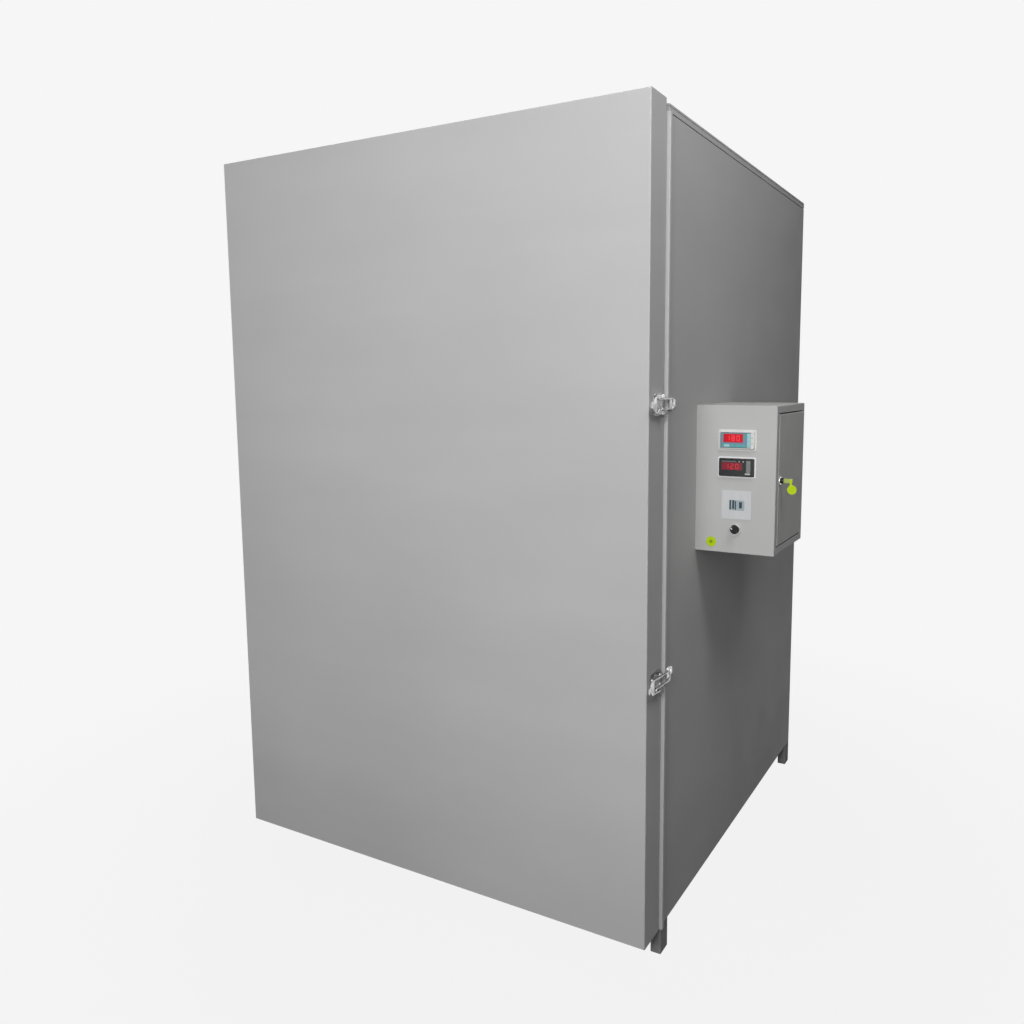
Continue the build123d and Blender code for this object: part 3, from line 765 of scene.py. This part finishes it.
class CABINET_OT_stage(bpy.types.Operator):
    """Make the camera, lamps, floor and background"""

    bl_idname = "cabinet.stage"
    bl_label = "Stage"

    def execute(self, context):
        stage = context.scene.cabinet_stage
        self.place_camera(context, stage)
        self.hang_lamps(context, stage)
        self.light_room(context, stage)
        self.lay_floor(stage)
        context.scene.view_settings.view_transform = "Standard"
        return {"FINISHED"}

    def place_camera(self, context, stage):
        """Stand the camera where the photograph was taken from."""
        turn = (
            Matrix.Rotation(stage.camera_heading, 3, "Z")
            @ Matrix.Rotation(math.pi / 2 - stage.camera_pitch, 3, "X")
            @ Matrix.Rotation(-stage.camera_roll, 3, "Z")
        )
        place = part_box("door_shell")[0] + Vector(stage.camera_place)
        bpy.ops.object.camera_add(location=place, rotation=turn.to_euler())
        camera = context.object
        camera.name = "studio_camera"
        camera.data.sensor_width = SENSOR_WIDTH
        camera.data.lens = stage.focal_pixels / IMAGE_SIZE * SENSOR_WIDTH
        camera.data.shift_x = 0.5 - stage.centre_across / IMAGE_SIZE
        camera.data.shift_y = stage.centre_down / IMAGE_SIZE - 0.5
        context.scene.camera = camera

    def hang_lamps(self, context, stage):
        """Hang the soft lamps."""
        for name, (place, target, size) in LAMPS.items():
            turn = (Vector(target) - Vector(place)).to_track_quat("-Z", "Y").to_euler()
            bpy.ops.object.light_add(type="AREA", location=place, rotation=turn)
            lamp = context.object
            lamp.name = name
            lamp.data.energy = getattr(stage, name)
            lamp.data.size = size

    def light_room(self, context, stage):
        """Show a pale background and give a faint light from all round."""
        world = bpy.data.worlds.new("studio_world")
        context.scene.world = world
        world.use_nodes = True
        tree = world.node_tree
        shade = tree.nodes["Background"]
        strength = spread(tree, self.seen_rays(tree), stage.fill, stage.background, 0.0, 1.0)
        link(tree, strength, shade.inputs["Strength"])
        fix(shade, "Color", (1, 1, 1, 1))

    def lay_floor(self, stage):
        """Lay a floor that takes the cabinet's shadow and fades into the background."""
        bpy.ops.mesh.primitive_circle_add(vertices=96, radius=FLOOR_RADIUS, fill_type="NGON")
        floor = bpy.context.object
        floor.name = "studio_floor"
        tree, shader = new_material("studio_floor")
        tint(
            tree, shader, (stage.floor_grey,) * 3, spread(tree, noise(tree, 30.0, 4.0), 0.99, 1.01)
        )
        fix(shader, "Roughness", 0.9)
        glow = tree.nodes.new("ShaderNodeEmission")
        fix(glow, "Color", (stage.background,) * 3 + (1,))
        place = tree.nodes.new("ShaderNodeTexCoord")
        reach = tree.nodes.new("ShaderNodeVectorMath")
        reach.operation = "LENGTH"
        link(tree, place.outputs["Object"], reach.inputs[0])
        fade = spread(tree, reach.outputs["Value"], *FLOOR_GLOW, *FLOOR_FADE)
        mix = tree.nodes.new("ShaderNodeMixShader")
        link(tree, product(tree, fade, self.seen_rays(tree)), mix.inputs[0])
        link(tree, shader.outputs[0], mix.inputs[1])
        link(tree, glow.outputs[0], mix.inputs[2])
        link(tree, mix.outputs[0], tree.nodes["Material Output"].inputs["Surface"])
        floor.data.materials.append(bpy.data.materials["studio_floor"])

    def seen_rays(self, tree):
        """One for rays that come from the camera, by way of a reflection or glass too."""
        rays = tree.nodes.new("ShaderNodeLightPath")
        result = rays.outputs["Is Camera Ray"]
        for kind in ("Is Glossy Ray", "Is Transmission Ray"):
            either = tree.nodes.new("ShaderNodeMath")
            either.operation = "MAXIMUM"
            link(tree, result, either.inputs[0])
            link(tree, rays.outputs[kind], either.inputs[1])
            result = either.outputs[0]
        return result


class CABINET_OT_finishes(bpy.types.Operator):
    """Mix the paints, plating, sheet, rubber and plastics"""

    bl_idname = "cabinet.finishes"
    bl_label = "Finishes"

    def execute(self, context):
        colours = context.scene.cabinet_finish
        sheet_paint("cabinet_paint", colours.paint, 0.0012)
        sheet_paint("hinge_paint", colours.paint, 0.0001)
        sheet_paint("leg_paint", colours.leg_paint, 0.0001)
        powder_coat("enclosure_paint", colours.box_paint)
        plated("latch_plating", colours.plating, 0.12, 0.24, 0.80)
        # The base plates are darker than the levers: painted shade under the levers
        plated("plate_plating", colours.shaded_base_plating, 0.22, 0.36, 0.80)
        plated("screw_plating", colours.plating, 0.28, 0.42)
        plated("ring_plating", (0.58, 0.58, 0.58), 0.26, 0.36, 0.94)
        plated("wire_plating", (0.50, 0.50, 0.51), 0.12, 0.22, 0.74)
        # The lower latch's finishes are darker copies of the upper latch's: painted shade
        plated("worn_plating", colours.worn_plating, 0.18, 0.32, 0.72)
        plated("worn_plate", (0.19, 0.19, 0.19), 0.26, 0.40, 0.76)
        plated("worn_wire", (0.36, 0.36, 0.365), 0.16, 0.28, 0.72)
        brushed("liner_sheet", colours.liner)
        galvanised("plate_spangle", (0.62, 0.62, 0.60))
        mineral_wool("core_wool", (0.62, 0.58, 0.45))
        rubber("seal_strip", (0.035, 0.035, 0.037))
        moulded("meter_cream", colours.meter_frame, 0.36, 0.48)
        moulded("meter_black", (0.018, 0.020, 0.021), 0.24, 0.36)
        moulded("trim_pale", (0.76, 0.76, 0.77), 0.42, 0.52)
        printed("face_blue_green", colours.face_green, colours.face_blue)
        moulded("face_line", (0.055, 0.080, 0.080), 0.36, 0.46)
        moulded("face_black", (0.022, 0.026, 0.027), 0.30, 0.38, 0.3)
        moulded("window_red", colours.display, 0.14, 0.22, 0.25, 0.00001)
        moulded("window_dim", (0.24, 0.030, 0.046), 0.14, 0.22, 0.25, 0.00001)
        lit("figure_red", (0.95, 0.04, 0.06), 0.25)
        lit("figure_dim", (0.62, 0.022, 0.026), 0.18)
        moulded("key_grey", (0.20, 0.21, 0.20), 0.45, 0.58, 0.3)
        moulded("key_light", (0.44, 0.45, 0.43), 0.45, 0.58, 0.3)
        moulded("key_cyan", (0.34, 0.57, 0.60), 0.40, 0.50, 0.3)
        moulded("key_teal", (0.12, 0.36, 0.38), 0.40, 0.50, 0.3)
        moulded("knob_black", (0.011, 0.011, 0.012), 0.28, 0.40, 0.25)
        moulded("mark_white", (0.72, 0.72, 0.70), 0.45, 0.55)
        moulded("card_sheet", (0.575, 0.58, 0.59), 0.42, 0.52, 0.2, fleck=0.03)
        moulded("card_ink", (0.030, 0.050, 0.068), 0.45, 0.55, 0.3)
        moulded("card_wash", (0.34, 0.40, 0.42), 0.45, 0.55, 0.3)
        moulded("signal_plastic", colours.signal, 0.28, 0.38, 0.2)
        moulded("signal_dark", (0.22, 0.34, 0.004), 0.34, 0.44, 0.2)
        moulded("key_head", (0.38, 0.45, 0.11), 0.34, 0.46, 0.2)
        return {"FINISHED"}


class CABINET_OT_panels(bpy.types.Operator):
    """Paint the walls, roof, frame, legs and door"""

    bl_idname = "cabinet.panels"
    bl_label = "Panels"

    def execute(self, context):
        for node in (
            "floor_panel", "side_wall_left", "side_wall_right", "rear_wall", "ceiling_panel",
            "frame_sill", "frame_head",
        ):
            assign(node, "cabinet_paint")
        soften("door_shell", "door", "cabinet_paint", 0.3 * MM)
        for node in ("roof_cap", "frame_post_left", "frame_post_right"):
            soften(node, "cabinet", "cabinet_paint", 0.4 * MM)
        for node in ("leg_front_left", "leg_front_right", "leg_rear_left", "leg_rear_right"):
            soften(node, "cabinet", "leg_paint", 0.4 * MM)
        return {"FINISHED"}


class CABINET_OT_chamber(bpy.types.Operator):
    """Finish the chamber's liner and the door's liner, core and seal"""

    bl_idname = "cabinet.chamber"
    bl_label = "Chamber and Door Lining"

    def execute(self, context):
        assign("chamber_liner", "liner_sheet")
        assign("door_core", "core_wool")
        soften("door_liner", "door", "liner_sheet", 0.8 * MM)
        soften("door_seal", "door", "seal_strip", 0.5 * MM)
        return {"FINISHED"}


class CABINET_OT_rivets(bpy.types.Operator):
    """Rivet the rear wall to the side walls' folds"""

    bl_idname = "cabinet.rivets"
    bl_label = "Rear Rivets"

    def execute(self, context):
        fasteners = context.scene.cabinet_fasteners
        low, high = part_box("rear_wall")
        outer_low, outer_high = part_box("side_wall_left")[0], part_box("side_wall_right")[1]
        fold = (low.x - outer_low.x) / 2
        rows = fasteners.rivet_rows
        spots = []
        for x in (outer_low.x + fold, outer_high.x - fold):
            for index in range(rows):
                z = low.z + (high.z - low.z) * (index + 0.5) / rows
                spots.append((Vector((x, high.y, z)), FACE_REAR))
        piece = repeat(model_rivet(fasteners.rivet_radius, fasteners.rivet_height), spots)
        hang(piece, "rear_rivets", "cabinet", "cabinet_paint")
        return {"FINISHED"}


class CABINET_OT_hinges(bpy.types.Operator):
    """Finish the door hinges and screw their leaves on"""

    bl_idname = "cabinet.hinges"
    bl_label = "Door Hinges"

    def execute(self, context):
        spots = {"cabinet": [], "door": []}
        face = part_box("side_wall_left")[0].x - LEAF_FACE
        for place in HINGES:
            for side, body in (("body", "cabinet"), ("door", "door")):
                node = f"hinge_{side}_{place}"
                soften(node, body, "hinge_paint", 0.5 * MM)
                low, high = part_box(node)
                # The cabinet's leaf runs back from its knuckle, the door's leaf forwards
                if body == "cabinet":
                    first, last = low.y + LEAF_KNUCKLE, high.y - LEAF_END
                else:
                    first, last = high.y - LEAF_KNUCKLE, low.y + LEAF_END
                for y in (first + (last - first) * LEAF_SHARE, last):
                    for z in (low.z + LEAF_MARGIN, low.z + LEAF_HEIGHT - LEAF_MARGIN):
                        spots[body].append((Vector((face, y, z)), FACE_LEFT))
        for body, places in spots.items():
            piece = repeat(model_screw(), places)
            hang(piece, f"hinge_screws_{body}", body, "screw_plating")
        return {"FINISHED"}


class CABINET_OT_latches(bpy.types.Operator):
    """Finish the toggle latches, bend their wire loops and add rivets and screws"""

    bl_idname = "cabinet.latches"
    bl_label = "Toggle Latches"

    def execute(self, context):
        latch = context.scene.cabinet_latch
        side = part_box("door_shell")[1].x
        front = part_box("door_shell")[0].y
        for place, (plating, plate, wire) in LATCHES.items():
            base, keeper = f"latch_base_{place}", f"latch_keeper_{place}"
            low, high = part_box(base)
            up = (low.z + high.z) / 2
            soften(base, "door", plate, latch.edge)
            soften(keeper, "cabinet", plating, latch.edge)
            soften(f"latch_lever_{place}", f"lever_{place}", plating, latch.edge)
            self.bend_loop(place, side, front, up, latch, wire)

            pivot = Vector((side + latch.pivot[0], front + latch.pivot[1], up))
            ear = Vector((0, 0, latch.ear_outer))
            heads = [(pivot + ear, FACE_UP), (pivot - ear, FACE_DOWN)]
            piece = repeat(model_rivet(latch.rivet_radius, latch.rivet_height), heads)
            hang(piece, f"latch_rivets_{place}", "door", plating)

            columns = (low.y + BASE_FRONT, high.y - BASE_REAR)
            corners = [(y, up + rise) for y in columns for rise in (-BASE_RISE, BASE_RISE)]
            self.screw_on(f"latch_screws_{place}", "door", side + BASE_FACE, corners, 0.8)
            holes = [(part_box(keeper)[0].y + back, up + rise) for back, rise in KEEPER_SCREWS]
            self.screw_on(f"keeper_screws_{place}", "cabinet", side + KEEPER_FACE, holes, 0.85)
        return {"FINISHED"}

    def screw_on(self, name, body, face, places, scale):
        """Put small screws on a pressed plate's face."""
        spots = [(Vector((face, y, z)), FACE_RIGHT) for y, z in places]
        hang(repeat(model_screw(scale), spots), name, body, "screw_plating")

    def bend_loop(self, place, side, front, up, latch, plating):
        """Draw the loop's wire from its end in the lever, round the far bar and back."""
        near = Vector((side + latch.loop_pivot[0], front + latch.loop_pivot[1], up))
        far = Vector((side + latch.rung[0], front + latch.rung[1], up))
        along = (far - near).normalized()
        rise = Vector((0, 0, 1))
        half, bend = latch.loop_half, latch.bend_radius
        corners = (
            (near + rise * half, -rise, along),
            (far + rise * half, along, -rise),
            (far - rise * half, -rise, -along),
            (near - rise * half, -along, -rise),
        )
        here = near + rise * latch.stub
        piece = start(
            bpy.ops.mesh.primitive_circle_add, vertices=16, radius=latch.wire_radius,
            fill_type="NGON",
        )
        bpy.ops.transform.translate(value=here)
        for corner, come, leave in corners:
            begin = corner - come * bend
            pull(begin - here)
            pivot = begin + leave * bend
            here = corner + leave * bend
            bpy.ops.mesh.spin(
                steps=6, angle=math.radians(90), center=pivot,
                axis=(here - pivot).cross(begin - pivot).normalized(),
            )
        pull(near - rise * latch.stub - here)
        close_shape(piece)
        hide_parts(f"latch_loop_{place}")
        hang(piece, f"latch_loop_{place}_wire", f"loop_{place}", plating, 50.0)


class CABINET_OT_enclosure(bpy.types.Operator):
    """Finish the control enclosure, its lid and its mounting plate"""

    bl_idname = "cabinet.enclosure"
    bl_label = "Control Enclosure"

    def execute(self, context):
        soften("enclosure_body", "cabinet", "enclosure_paint", 0.3 * MM)
        soften("enclosure_lid", "lid", "enclosure_paint", 0.3 * MM)
        soften("mounting_plate", "cabinet", "plate_spangle", 0.4 * MM)
        return {"FINISHED"}


class CABINET_OT_instruments(bpy.types.Operator):
    """Dress the panel meters, the card, the selector and the marker"""

    bl_idname = "cabinet.instruments"
    bl_label = "Instruments"

    def execute(self, context):
        sizes = context.scene.cabinet_instruments
        self.dress_upper(sizes)
        self.dress_lower(sizes)
        self.dress_card()
        self.dress_selector(sizes)
        return {"FINISHED"}

    def lay(self, name, slot, material, shape, middle, *spots, lift=0.0003):
        """Lay copies of a shape on a face, each by its millimetres across and up."""
        places = [
            (middle + Vector((across * MM, -lift, rise * MM)), FACE_FRONT) for across, rise in spots
        ]
        hang(repeat(shape, places), name, "cabinet", material)

    def lay_plates(self, node, slot, middle, plates):
        """Lay a table's plates on a face."""
        for name, material, (width, height, thick, corner, edge), lift, *spots in plates:
            shape = model_plate(width * MM, height * MM, thick * MM, corner * MM, edge * MM)
            self.lay(f"{node}_{name}", slot, material, shape, middle, *spots, lift=lift * MM)

    def seat_meter(self, node, slot, shell, trim, sizes):
        """Soften a meter, put its gasket round it and find the middle of its face."""
        low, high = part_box(node)
        soften(node, "cabinet", shell, 0.1 * MM)
        reach = sizes.trim_reach
        gasket = model_frame(
            high.x - low.x + 2 * reach, high.z - low.z + 2 * reach, sizes.trim_thick,
            corner=reach + 1.5 * MM, band=reach - 0.2 * MM, edge=0.3 * MM,
        )
        middle = front_middle(node) + Vector((0, sizes.recess, 0))
        seat = Vector((middle.x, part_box("enclosure_body")[0].y, middle.z))
        self.lay(f"{node}_gasket", slot, trim, gasket, seat, (0, 0), lift=0)
        return middle

    def light_figures(self, node, slot, material, reading, middle, window, sizes):
        """Make the lit bars of a reading before its window."""
        bars = []
        tall, lift = sizes.figure_height, 0.85 * MM
        centre = middle + Vector((window[0] * MM, -lift, window[1] * MM))
        for index, digit in enumerate(reading):
            across = (index - (len(reading) - 1) / 2) * sizes.figure_pitch
            for bar in FIGURES[digit]:
                aside, rise, upright = BARS[bar]
                place = centre + Vector((across + aside * tall / 4, 0, rise * tall / 4))
                bars.append((place, FACE_FRONT @ Matrix.Rotation(math.pi / 2 * upright, 3, "Z")))
        bar = model_bar(length=tall / 2 - 0.4 * MM, width=1.8 * MM, thick=0.2 * MM)
        hang(repeat(bar, bars), f"{node}_figures", "cabinet", material)

    def dress_upper(self, sizes):
        """The cream meter: a lined blue green sheet with a red window and bright keys."""
        node, slot = "controller_upper", "white_plastic"
        middle = self.seat_meter(node, slot, "meter_cream", "meter_cream", sizes)
        self.lay_plates(node, slot, middle, UPPER_PLATES)
        width, height = UPPER_SHEET
        line = model_frame(
            width * MM, height * MM, 0.2 * MM, corner=0.8 * MM, band=1.5 * MM, edge=0.0
        )
        self.lay(f"{node}_line", slot, "face_line", line, middle, UPPER_MIDDLE)
        self.light_figures(node, slot, "figure_red", "180", middle, UPPER_WINDOW, sizes)
        dot = model_disc(1.5 * MM, 0.4 * MM, 0.1 * MM)
        self.lay(f"{node}_dots", slot, "key_grey", dot, middle, (41.4, 7), (41.4, -7), lift=0)

    def dress_lower(self, sizes):
        """The black meter: a dim red window, a line and two lamps over it, and grey keys."""
        node, slot = "controller_lower", "black_plastic"
        middle = self.seat_meter(node, slot, "meter_black", "trim_pale", sizes)
        self.lay_plates(node, slot, middle, LOWER_PLATES)
        self.light_figures(node, slot, "figure_dim", "120", middle, LOWER_WINDOW, sizes)
        lamp = model_disc(1.8 * MM, 0.5 * MM, 0.2 * MM)
        self.lay(f"{node}_lamps", slot, "key_light", lamp, middle, (8, 16), (19, 16))

    def dress_card(self):
        """Give the card a softened edge and plain bars of print."""
        soften("label_card", "cabinet", "card_sheet", 0.2 * MM)
        self.lay_plates("label_card", "card_white", front_middle("label_card"), CARD_PLATES)

    def dress_selector(self, sizes):
        """Finish the knob with its white pointer, the ring, and the marker with its middle."""
        soften("selector_base", "cabinet", "ring_plating", 0.5 * MM)
        soften("selector_knob", "knob", "knob_black", 0.7 * MM, 3)
        low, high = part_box("selector_knob")
        turn = FACE_FRONT @ Matrix.Rotation(sizes.pointer_turn, 3, "Z")
        margin = 2 * MM
        reach = (high.x - low.x) / 2 - margin - sizes.pointer_length / 2
        pointer = model_plate(2.4 * MM, sizes.pointer_length, 0.3 * MM, corner=0.8 * MM, edge=0.0)
        set_down(pointer, front_middle("selector_knob") + turn @ Vector((0, reach, 0)), turn)
        hang(pointer, "knob_pointer", "knob", "mark_white")

        soften("marker_disc", "cabinet", "signal_plastic", 0.2 * MM)
        spot = model_disc(4.8 * MM, 0.4 * MM, 0.1 * MM)
        set_down(spot, front_middle("marker_disc"), FACE_FRONT)
        hang(spot, "marker_middle", "cabinet", "signal_dark")


class CABINET_OT_lock(bpy.types.Operator):
    """Finish the lid's lock, its key and the tag"""

    bl_idname = "cabinet.lock"
    bl_label = "Lock and Key"

    def execute(self, context):
        low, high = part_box("lid_lock")
        lid_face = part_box("enclosure_lid")[1].x
        middle = Vector((lid_face, (low.y + high.y) / 2, (low.z + high.z) / 2))
        soften("lid_lock", "lid", "knob_black", 0.5 * MM)
        ring = model_disc(11.5 * MM, 2.6 * MM, 0.8 * MM, dish=0.2 * MM, rim=3 * MM)
        set_down(ring, middle, FACE_RIGHT)
        hang(ring, "lock_ring", "lid", "latch_plating")
        soften("lock_key", "lid", "key_head", 0.8 * MM, 3)
        soften("key_tag", "lid", "signal_plastic", 0.4 * MM)
        return {"FINISHED"}


class CABINET_PT_panel(bpy.types.Panel):
    """Lists the cabinet's steps."""

    bl_label = "Drying Cabinet"
    bl_idname = "CABINET_PT_panel"
    bl_space_type = "VIEW_3D"
    bl_region_type = "UI"
    bl_category = "Cabinet"

    def draw(self, context):
        for step in STEPS:
            self.layout.operator(step.bl_idname)


STEPS = (
    CABINET_OT_stage, CABINET_OT_finishes, CABINET_OT_panels, CABINET_OT_chamber, CABINET_OT_rivets,
    CABINET_OT_hinges, CABINET_OT_latches, CABINET_OT_enclosure, CABINET_OT_instruments,
    CABINET_OT_lock,
)
SETTINGS = {
    "cabinet_stage": StageSettings,
    "cabinet_finish": FinishSettings,
    "cabinet_latch": LatchSettings,
    "cabinet_fasteners": FastenerSettings,
    "cabinet_instruments": InstrumentSettings,
}


def register():
    for cls in (*SETTINGS.values(), *STEPS, CABINET_PT_panel):
        bpy.utils.register_class(cls)
    for name, settings in SETTINGS.items():
        setattr(bpy.types.Scene, name, PointerProperty(type=settings))


def unregister():
    for name in SETTINGS:
        delattr(bpy.types.Scene, name)
    for cls in reversed((*SETTINGS.values(), *STEPS, CABINET_PT_panel)):
        bpy.utils.unregister_class(cls)


def main():
    register()
    bpy.ops.cabinet.stage()
    bpy.ops.cabinet.finishes()
    bpy.ops.cabinet.panels()
    bpy.ops.cabinet.chamber()
    bpy.ops.cabinet.rivets()
    bpy.ops.cabinet.hinges()
    bpy.ops.cabinet.latches()
    bpy.ops.cabinet.enclosure()
    bpy.ops.cabinet.instruments()
    bpy.ops.cabinet.lock()


if __name__ == "__main__":
    main()
